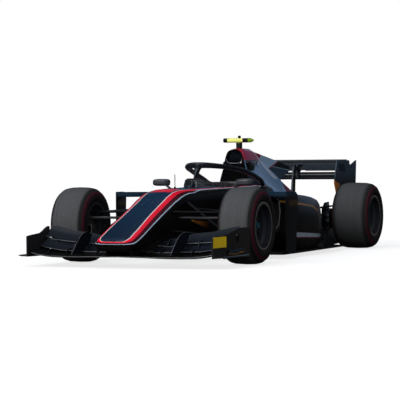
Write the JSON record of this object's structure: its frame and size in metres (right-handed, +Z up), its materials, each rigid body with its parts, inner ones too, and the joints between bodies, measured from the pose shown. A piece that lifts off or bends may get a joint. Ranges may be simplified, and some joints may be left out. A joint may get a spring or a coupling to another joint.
{
  "type": "open wheel racing car",
  "caption": "Single-seat open wheel racing car with cockpit hoop, finned engine cover, slick tyres, steered front wheels and a rear wing with an opening flap.",
  "frame": {"origin": "middle of the ground area under the car, on the plane the tyres stand on", "axes": "+X forward to the nose, +Y to the car's left, +Z up"},
  "size_m": [5.025, 1.9, 1.126],
  "materials": {
    "body_paint": "gloss",
    "carbon": "satin",
    "cover_paint": "gloss",
    "foam": "matt",
    "metal": "machined",
    "cast": "cast",
    "wood": "bare",
    "light": "clear",
    "pipe": "heat marked",
    "glass": "polished",
    "camera": "gloss",
    "tyre": "worn",
    "rim": "satin",
    "core": "finned",
    "grip": "matt"
  },
  "bodies": {
    "chassis": {"nose": "body_paint", "monocoque": "body_paint", "headrest": "foam", "seat": "carbon", "halo": "carbon", "engine_cover": "cover_paint", "engine": "cast", "sidepods": "body_paint", "radiators": "core", "sidepod_vanes": "carbon", "floor": "carbon", "plank": "wood", "diffuser": "carbon", "gearbox": "cast", "rear_crash_structure": "carbon", "rain_light": "light", "exhaust": "pipe", "front_wing_main": "carbon", "front_wing_flaps": "carbon", "front_wing_endplates": "carbon", "front_wing_pylons": "carbon", "front_suspension": "carbon", "rear_suspension": "carbon", "rear_uprights": "metal", "mirrors": "body_paint", "mirror_glasses": "glass", "antenna": "grip", "roll_hoop_camera": "camera", "rear_wing_main": "carbon", "rear_wing_endplates": "carbon", "rear_wing_pylon": "carbon"},
    "knuckle_left": {"upright_fl": "metal"},
    "knuckle_right": {"upright_fr": "metal"},
    "wheel_front_left": {"tyre_fl": "tyre", "rim_fl": "rim", "hub_fl": "metal"},
    "wheel_front_right": {"tyre_fr": "tyre", "rim_fr": "rim", "hub_fr": "metal"},
    "wheel_rear_left": {"tyre_rl": "tyre", "rim_rl": "rim", "hub_rl": "metal"},
    "wheel_rear_right": {"tyre_rr": "tyre", "rim_rr": "rim", "hub_rr": "metal"},
    "steering_rack": {"track_rods": "metal"},
    "steering_control": {"steering_wheel": "grip"},
    "rear_flap": {"rear_wing_flap": "carbon"}
  },
  "joints": [
    {"name": "steer_left", "type": "hinge", "parent": "chassis", "child": "knuckle_left", "pos_m": [1.5075, 0.69, 0.33], "axis": [0, 0, 1], "range_deg": [-18, 18]},
    {"name": "steer_right", "type": "hinge", "parent": "chassis", "child": "knuckle_right", "pos_m": [1.5075, -0.69, 0.33], "axis": [0, 0, 1], "range_deg": [-18, 18]},
    {"name": "rack_slide", "type": "slide", "parent": "chassis", "child": "steering_rack", "axis": [0, 1, 0], "range_m": [-0.0335, 0.0335]},
    {"name": "column_turn", "type": "hinge", "parent": "chassis", "child": "steering_control", "pos_m": [0.6025, 0, 0.556], "axis": [-0.9744, 0, 0.225], "range_deg": [-151, 151]},
    {"name": "wheel_front_left_spin", "type": "hinge", "parent": "knuckle_left", "child": "wheel_front_left", "pos_m": [1.5075, 0.785, 0.33], "axis": [0, 1, 0], "continuous": true},
    {"name": "wheel_front_right_spin", "type": "hinge", "parent": "knuckle_right", "child": "wheel_front_right", "pos_m": [1.5075, -0.785, 0.33], "axis": [0, 1, 0], "continuous": true},
    {"name": "wheel_rear_left_spin", "type": "hinge", "parent": "chassis", "child": "wheel_rear_left", "pos_m": [-1.6275, 0.76, 0.33], "axis": [0, 1, 0], "continuous": true},
    {"name": "wheel_rear_right_spin", "type": "hinge", "parent": "chassis", "child": "wheel_rear_right", "pos_m": [-1.6275, -0.76, 0.33], "axis": [0, 1, 0], "continuous": true},
    {"name": "flap_open", "type": "hinge", "parent": "chassis", "child": "rear_flap", "pos_m": [-2.24519, 0, 0.87404], "axis": [0, -1, 0], "range_deg": [0, 17]}
  ],
  "couplings": [
    {"joint": "steer_right", "follows": "steer_left", "ratio": 1},
    {"joint": "rack_slide", "follows": "steer_left", "m_per_rad": 0.10328},
    {"joint": "column_turn", "follows": "steer_left", "ratio": 8.333}
  ]
}
